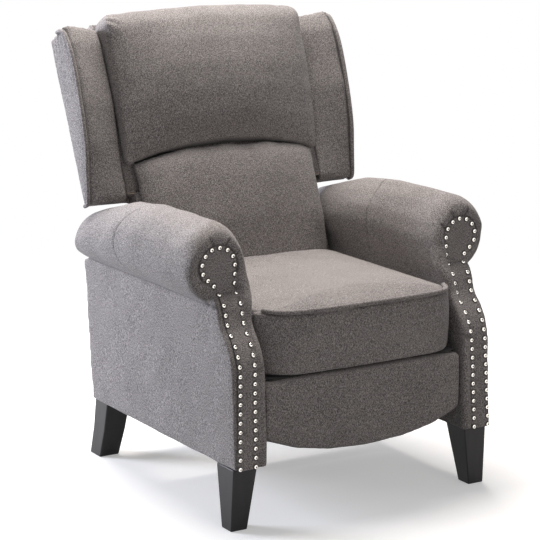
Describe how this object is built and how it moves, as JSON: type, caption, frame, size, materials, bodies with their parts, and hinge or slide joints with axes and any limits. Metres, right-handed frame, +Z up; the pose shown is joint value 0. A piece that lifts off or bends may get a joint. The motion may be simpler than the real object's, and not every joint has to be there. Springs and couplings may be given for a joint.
{
  "type": "recliner",
  "caption": "Push-back recliner armchair with wings, rolled arms, nailhead trim and dark legs; leaning back raises the seat and swings out the footrest.",
  "frame": {"origin": "floor level, under the middle of the closed chair's bounding box", "axes": "+Z up, -Y the way the chair faces, +X the sitter's left"},
  "size_m": [0.7446, 0.7994, 1.0122],
  "materials": {
    "frame_wood": "raw sawn hardwood and plywood",
    "leg_wood": "near-black espresso satin",
    "nickel": "polished nickel nail heads",
    "steel": "zinc plated stamped steel",
    "upholstery": "heathered warm grey woven polyester",
    "webbing": "elastic black webbing"
  },
  "bodies": {
    "base": {"left_front_leg": "leg_wood", "right_front_leg": "leg_wood", "left_rear_leg": "leg_wood", "right_rear_leg": "leg_wood", "left_arm_outer_panel": "upholstery", "right_arm_outer_panel": "upholstery", "left_arm_inner_panel": "upholstery", "right_arm_inner_panel": "upholstery", "left_arm_front_board": "upholstery", "right_arm_front_board": "upholstery", "left_arm_front_panel": "upholstery", "right_arm_front_panel": "upholstery", "left_arm_pad": "upholstery", "right_arm_pad": "upholstery", "left_nailheads": "nickel", "right_nailheads": "nickel", "arm_top_rails": "frame_wood", "arm_bottom_rails": "frame_wood", "front_cross_rail": "frame_wood", "rear_cross_rail": "frame_wood", "rear_skirt_panel": "upholstery", "left_base_plate": "steel", "right_base_plate": "steel", "left_base_pins": "steel", "right_base_pins": "steel"},
    "front_swing_links": {"front_swing_links": "steel"},
    "rear_swing_links": {"rear_swing_links": "steel"},
    "back_drive_links": {"back_drive_links": "steel"},
    "seat": {"seat_front_rail": "frame_wood", "seat_rear_rail": "frame_wood", "seat_side_rails": "frame_wood", "seat_springs": "steel", "seat_cushion": "upholstery", "seat_front_band": "upholstery", "seat_welt": "upholstery", "left_seat_plate": "steel", "right_seat_plate": "steel", "left_seat_pins": "steel", "right_seat_pins": "steel"},
    "back": {"left_back_stile": "frame_wood", "right_back_stile": "frame_wood", "back_top_rail": "frame_wood", "back_bottom_rail": "frame_wood", "back_webbing": "webbing", "outer_back_panel": "upholstery", "head_pillow": "upholstery", "lumbar_cushion": "upholstery", "left_wing": "upholstery", "right_wing": "upholstery", "left_wing_welt": "upholstery", "right_wing_welt": "upholstery", "left_back_bracket": "steel", "right_back_bracket": "steel"},
    "ottoman_rear_links": {"ottoman_rear_links": "steel"},
    "ottoman_front_links": {"ottoman_front_links": "steel"},
    "ottoman_cross_links": {"ottoman_cross_links": "steel"},
    "ottoman_outer_links": {"ottoman_outer_links": "steel"},
    "footrest": {"footrest_board": "frame_wood", "footrest_pad": "upholstery", "footrest_brackets": "steel"}
  },
  "joints": [
    {"name": "back_recline", "type": "hinge", "parent": "seat", "child": "back", "pos_m": [0, 0.16, 0.342], "axis": [-1, 0, 0], "range_deg": [0, 32]},
    {"name": "front_swing", "type": "hinge", "parent": "base", "child": "front_swing_links", "pos_m": [0, -0.23, 0.195], "axis": [-1, 0, 0], "range_deg": [-33, 0]},
    {"name": "rear_swing", "type": "hinge", "parent": "base", "child": "rear_swing_links", "pos_m": [0, -0.02, 0.195], "axis": [-1, 0, 0], "range_deg": [-33, 0]},
    {"name": "seat_lift", "type": "hinge", "parent": "front_swing_links", "child": "seat", "pos_m": [0, -0.1718, 0.2469], "axis": [-1, 0, 0], "range_deg": [0, 33]},
    {"name": "back_drive", "type": "hinge", "parent": "base", "child": "back_drive_links", "pos_m": [0, 0.242, 0.436], "axis": [-1, 0, 0], "range_deg": [0, 14.53]},
    {"name": "footrest_rear_link", "type": "hinge", "parent": "seat", "child": "ottoman_rear_links", "pos_m": [0, -0.2899, 0.2584], "axis": [-1, 0, 0], "range_deg": [0, 103.5]},
    {"name": "footrest_front_link", "type": "hinge", "parent": "seat", "child": "ottoman_front_links", "pos_m": [0, -0.32, 0.292], "axis": [-1, 0, 0], "range_deg": [0, 101.3]},
    {"name": "footrest_cross_link", "type": "hinge", "parent": "ottoman_front_links", "child": "ottoman_cross_links", "pos_m": [0, -0.2567, 0.1957], "axis": [-1, 0, 0], "range_deg": [-112.8, 0]},
    {"name": "footrest_outer_link", "type": "hinge", "parent": "ottoman_front_links", "child": "ottoman_outer_links", "pos_m": [0, -0.2671, 0.1574], "axis": [-1, 0, 0], "range_deg": [-113.5, 0]},
    {"name": "footrest_swing", "type": "hinge", "parent": "ottoman_cross_links", "child": "footrest", "pos_m": [0, -0.315, 0.2951], "axis": [-1, 0, 0], "range_deg": [0, 101.5]}
  ],
  "couplings": [
    {"joint": "front_swing", "follows": "back_recline", "ratio": -1.0312},
    {"joint": "rear_swing", "follows": "back_recline", "ratio": -1.0312},
    {"joint": "seat_lift", "follows": "back_recline", "ratio": 1.0312},
    {"joint": "back_drive", "follows": "back_recline", "ratio": 0.45406},
    {"joint": "footrest_rear_link", "follows": "back_recline", "ratio": 3.2344},
    {"joint": "footrest_front_link", "follows": "back_recline", "ratio": 3.1656},
    {"joint": "footrest_cross_link", "follows": "back_recline", "ratio": -3.525},
    {"joint": "footrest_outer_link", "follows": "back_recline", "ratio": -3.5469},
    {"joint": "footrest_swing", "follows": "back_recline", "ratio": 3.1719}
  ]
}
